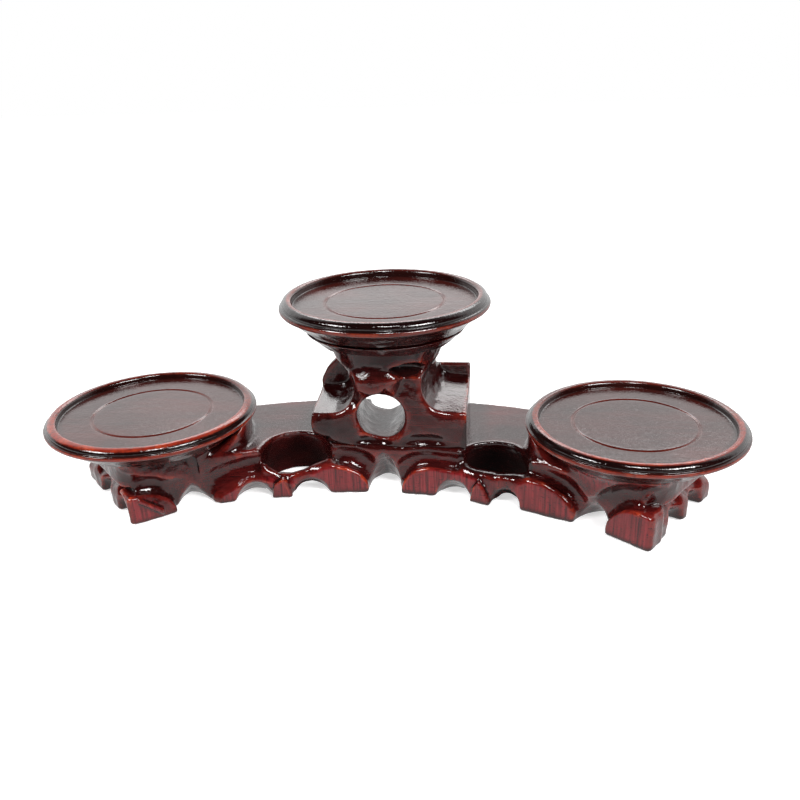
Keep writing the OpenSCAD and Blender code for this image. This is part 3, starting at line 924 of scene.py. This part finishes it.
class Wood(Graph):
    """The nodes of a material with one Principled shader."""

    def __init__(self, name):
        self.mat = bpy.data.materials.new(name)
        self.mat.use_nodes = True
        super().__init__(self.mat.node_tree)
        self.shader = self.tree.nodes["Principled BSDF"]
        self.coords = self.new("ShaderNodeTexCoord").outputs["Object"]

    def stretched(self, scale):
        return self.add("ShaderNodeMapping", {"Scale": scale, "Vector": self.coords}, "Vector")

    def noise(self, vector, scale=1.0, detail=3.0, rough=0.55, warp=0.0):
        inputs = {"Vector": vector, "Scale": scale, "Detail": detail, "Roughness": rough, "Distortion": warp}
        return self.add("ShaderNodeTexNoise", inputs, "Fac")

    def ramp(self, value, stops):
        node = self.new("ShaderNodeValToRGB")
        elements = node.color_ramp.elements
        while len(elements) > 1:
            elements.remove(elements[-1])
        elements[0].position, elements[0].color = stops[0][0], (*stops[0][1], 1)
        for place, colour in stops[1:]:
            elements.new(place).color = (*colour, 1)
        self.put(value, node.inputs["Fac"])
        return node.outputs["Color"]

    def mix(self, factor, below, above):
        """Lay one plain colour over another colour."""
        factor_socket, below_socket, above_socket, result = 0, 6, 7, 2
        inputs = {factor_socket: factor, below_socket: below}
        inputs[above_socket] = above if hasattr(above, "is_linked") else (*above, 1)
        return self.add("ShaderNodeMix", inputs, result, data_type="RGBA")

    def layer(self, name):
        return self.new("ShaderNodeAttribute", attribute_name=name).outputs["Fac"]

    def bump(self, height, distance, strength, under=None):
        inputs = {"Height": height, "Distance": distance, "Strength": strength}
        if under is not None:
            inputs["Normal"] = under
        return self.add("ShaderNodeBump", inputs, "Normal")

    def surface(self, **inputs):
        """Fill the shader's inputs: words joined by an underline stand for the input's name."""
        for key, value in inputs.items():
            self.put(value, self.shader.inputs[key.replace("_", " ")])


def lacquered_wood(name, dark, middle, light, rubbed, edge, sawn):
    """Red-brown hardwood under a thick gloss.

    It is near-black where shade is painted, at the joint and at pores; red where the lacquer is thin, on the
    trays redder at the lit front as painted light; orange where it wore through, and as a painted highlight
    on one toe's ridge.
    """
    m = Wood(name)
    broad = m.noise(m.stretched((9, 42, 42)), detail=3.0, rough=0.55, warp=0.6)
    fine = m.noise(m.stretched((26, 620, 620)), detail=4.0, rough=0.6, warp=0.2)
    pores = m.noise(m.stretched((70, 1500, 1500)), detail=2.0, rough=0.5)
    tone = m.math("ADD", m.math("MULTIPLY", broad, 0.6), m.math("MULTIPLY", fine, 0.4))
    colour = m.ramp(tone, [(0.30, dark), (0.50, middle), (0.70, light)])
    blotch = m.noise(m.coords, scale=38.0, detail=2.0, rough=0.5)
    colour = m.mix(m.range(blotch, (0.42, 0.7), (0.0, 0.5)), colour, dark)
    flecks = m.noise(m.coords, scale=420.0, detail=3.0, rough=0.65)
    patch = m.range(m.noise(m.coords, scale=90.0, detail=3.0, rough=0.6), (0.44, 0.66))
    # Rubbed red where the lacquer is thin; on the trays it is also painted light, redder at the lit front
    thin = m.math("MULTIPLY", m.layer("proud"), m.range(flecks, (0.25, 0.6), (0.35, 0.95)))
    colour = m.mix(thin, colour, rubbed)
    streaks = m.noise(m.stretched((900, 900, 38)), detail=3.0, rough=0.6, warp=0.3)
    sawn_dark, sawn_light = [c * 0.30 for c in sawn], [min(1, c * 1.6) for c in sawn]
    sawn_colour = m.ramp(streaks, [(0.32, sawn_dark), (0.52, sawn), (0.72, sawn_light)])
    colour = m.mix(m.layer("sawn"), colour, sawn_colour)
    # Orange of wear through the lacquer, also laid as a painted highlight along the leftmost toe's ridge
    worn = m.math("MULTIPLY", m.layer("worn"), patch)
    colour = m.mix(m.math("MULTIPLY", worn, m.range(flecks, (0.35, 0.6), (0.15, 0.85))), colour, edge)
    # Near-black by the hollow layer: painted shade, with the dark joint and a tray's centre mark; then dark
    # pores
    colour = m.mix(m.math("MULTIPLY", m.layer("hollow"), 0.92), colour, SHADE_JOINT_AND_PORE_DARK)
    colour = m.mix(m.range(pores, (0.60, 0.70), (0.0, 0.6)), colour, SHADE_JOINT_AND_PORE_DARK)
    grain = m.bump(fine, distance=0.0002, strength=0.35)
    grain = m.bump(pores, distance=0.0002, strength=0.25, under=grain)
    peel = m.noise(m.coords, scale=330.0, detail=2.0, rough=0.5)
    pimples = m.noise(m.coords, scale=1100.0, detail=2.0, rough=0.6)
    run = m.noise(m.stretched((60, 160, 160)), detail=2.0, rough=0.5)
    film = m.bump(peel, distance=0.00014, strength=0.5)
    film = m.bump(pimples, distance=0.00009, strength=1.0, under=film)
    film = m.bump(run, distance=0.0003, strength=0.16, under=film)
    film = m.bump(fine, distance=0.00012, strength=0.22, under=film)
    m.surface(Base_Color=colour, Roughness=m.range(fine, (0.3, 0.7), (0.34, 0.5)), Normal=grain)
    m.surface(Specular_IOR_Level=0.0, Coat_Weight=1.0, Coat_Roughness=0.05, Coat_IOR=1.52, Coat_Normal=film)
    return m.mat


def bare_wood(name):
    m = Wood(name)
    grain = m.noise(m.stretched((500, 500, 30)), detail=3.0, rough=0.6)
    colour = m.ramp(grain, [(0.3, DOWEL_DARK), (0.7, DOWEL_LIGHT)])
    rough = m.range(grain, (0.3, 0.7), (0.55, 0.7))
    m.surface(Base_Color=colour, Roughness=rough, Normal=m.bump(grain, distance=0.0002, strength=0.3))
    return m.mat


# Pieces

board_wood = lacquered_wood("lacquered_board", **BOARD_COLOURS)
pedestal_wood = lacquered_wood("lacquered_pedestal", **PEDESTAL_COLOURS)
tray_wood = lacquered_wood("lacquered_tray", **TRAY_COLOURS)
board = finish_carving(carve_board(), "carved_board", board_sawn)
pedestal = finish_carving(carve_pedestal(), "carved_pedestal", pedestal_sawn)
pieces = [
    (board, "base_board", "lacquered_board", board_wood),
    (pedestal, "pedestal", "lacquered_pedestal", pedestal_wood),
]
for node, *turning in TRAYS:
    pieces.append((turn_tray("turned_" + node, *turning), node, "lacquered_tray", tray_wood))
for piece, node, slot, wood in pieces:
    piece.data.materials.append(wood)
    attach(piece, "root")
    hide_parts(node)

dowel_wood = bare_wood("bare_dowel")
for name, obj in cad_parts.items():
    if name.endswith("dowel"):
        obj.material_slots[0].material = dowel_wood


# Stage: pale floor, soft studio light, white surround

def stage_floor():
    """A floor that looks white to the camera and keeps the stand's shadow; in reflections it is darker,
    dimmer still under the wing holes (painted shade), and glows except in front of the stand (a painted
    reflection).
    """
    half = FLOOR_HALF
    corners = [(-half, -half, 0), (half, -half, 0), (half, half, 0), (-half, half, 0)]
    mesh = bpy.data.meshes.new("floor")
    mesh.from_pydata(corners, [], [(0, 1, 2, 3)])
    obj = bpy.data.objects.new("floor", mesh)
    obj.location.z = -FLOOR_DROP
    bpy.context.scene.collection.objects.link(obj)
    mat = bpy.data.materials.new("pale_floor")
    mat.use_nodes = True
    mat.node_tree.nodes.clear()
    g = Graph(mat.node_tree)
    place = g.new("ShaderNodeTexCoord").outputs["Object"]
    path = g.new("ShaderNodeLightPath")
    glossy = path.outputs["Is Glossy Ray"]

    def distance_from(point):
        inputs = {0: place, 1: (point[0] * MM, point[1] * MM, 0)}
        return g.add("ShaderNodeVectorMath", inputs, "Value", operation="DISTANCE")

    def outside_hole(hole):
        middle = arc_point(hole[0], FRONT_R + HOLE_FLOOR_BACK)
        return g.range(distance_from(middle), (0.012, 0.019), (0.04, 1.0))

    fade = g.range(distance_from((0, 0)), (0.17, 0.55), (0.60, 1.0))
    seen = g.math("MULTIPLY", fade, path.outputs["Is Camera Ray"])
    # Under the wing holes the floor is dimmed in reflections: painted shade on the holes' walls
    open_floor = g.math("MULTIPLY", outside_hole(LEFT_HOLE), outside_hole(RIGHT_HOLE))
    # In reflections the floor glows, except in front of the stand and under the wing holes: a painted
    # reflection for the notches and skirts
    reflected = g.math("MULTIPLY", g.range(distance_from((0, ARC_Y)), (0.02, 0.20), (0.0, 0.66)), open_floor)
    glow = g.math("ADD", seen, g.math("MULTIPLY", reflected, glossy))
    # The floor's diffuse colour is darker in reflections: painted shade
    shade = g.math("MAXIMUM", open_floor, g.range(glossy, (0.0, 1.0), (1.0, 0.0)))
    pale = g.math("MULTIPLY", g.range(glossy, (0.0, 1.0), (0.82, 0.25)), shade)
    diffuse = g.add("ShaderNodeBsdfDiffuse", {"Color": pale}, 0)
    emission = g.add("ShaderNodeEmission", {"Strength": glow}, 0)
    both = g.add("ShaderNodeAddShader", {0: diffuse, 1: emission}, 0)
    g.put(both, g.new("ShaderNodeOutputMaterial").inputs["Surface"])
    mesh.materials.append(mat)


def studio_world():
    """White to the camera; for the light, bright behind the stand and dark behind the camera."""
    wall_light, room_light, diffuse_share = 1.44, 0.012, 0.40
    world = bpy.data.worlds.new("studio")
    bpy.context.scene.world = world
    world.use_nodes = True
    world.node_tree.nodes.clear()
    g = Graph(world.node_tree)
    path = g.new("ShaderNodeLightPath")
    split = g.new("ShaderNodeSeparateXYZ")
    g.put(g.new("ShaderNodeTexCoord").outputs["Generated"], split.inputs[0])
    behind = g.range(split.outputs["Y"], (0.05, 0.40), (0.0, wall_light))
    low = g.range(split.outputs["Z"], (0.62, 0.95), (1.0, 0.0))
    room = g.math("MAXIMUM", g.math("MULTIPLY", behind, low), room_light)
    share = g.range(path.outputs["Is Glossy Ray"], (0.0, 1.0), (diffuse_share, 1.0))
    level = g.math("MAXIMUM", g.math("MULTIPLY", room, share), path.outputs["Is Camera Ray"])
    back = g.add("ShaderNodeBackground", {"Color": (1, 1, 1, 1), "Strength": level}, 0)
    g.put(back, g.new("ShaderNodeOutputWorld").inputs["Surface"])


def lamp(name, at, aim, size, power):
    data = bpy.data.lights.new(name, "AREA")
    data.shape = "RECTANGLE"
    data.size, data.size_y = size
    data.energy = power
    obj = bpy.data.objects.new(name, data)
    obj.location = at
    obj.rotation_euler = (Vector(aim) - Vector(at)).to_track_quat("-Z", "Y").to_euler()
    obj.visible_camera = False
    bpy.context.scene.collection.objects.link(obj)


def photo_camera():
    """The camera that was fitted to the photograph."""
    (sy, cy), (sp, cp), (sr, cr) = (sine_cosine(a) for a in (CAMERA_YAW, CAMERA_PITCH, CAMERA_ROLL))
    right = Vector((cy, sy, 0))
    ahead = Vector((-sy * cp, cy * cp, -sp))
    down = ahead.cross(right)
    across, below = cr * right + sr * down, -sr * right + cr * down
    turn = Matrix((across, -below, -ahead)).transposed().to_4x4()
    data = bpy.data.cameras.new("camera")
    data.sensor_width = SENSOR_MM
    data.lens = CAMERA_FOCAL * SENSOR_MM / PHOTO_WIDTH
    data.clip_start = 0.01
    obj = bpy.data.objects.new("camera", data)
    obj.matrix_world = Matrix.Translation(Vector(CAMERA_PLACE) * MM) @ turn
    bpy.context.scene.collection.objects.link(obj)
    bpy.context.scene.camera = obj


stage_floor()
studio_world()
for values in LAMPS:
    lamp(*values)
photo_camera()
bpy.context.scene.view_settings.view_transform = "Standard"
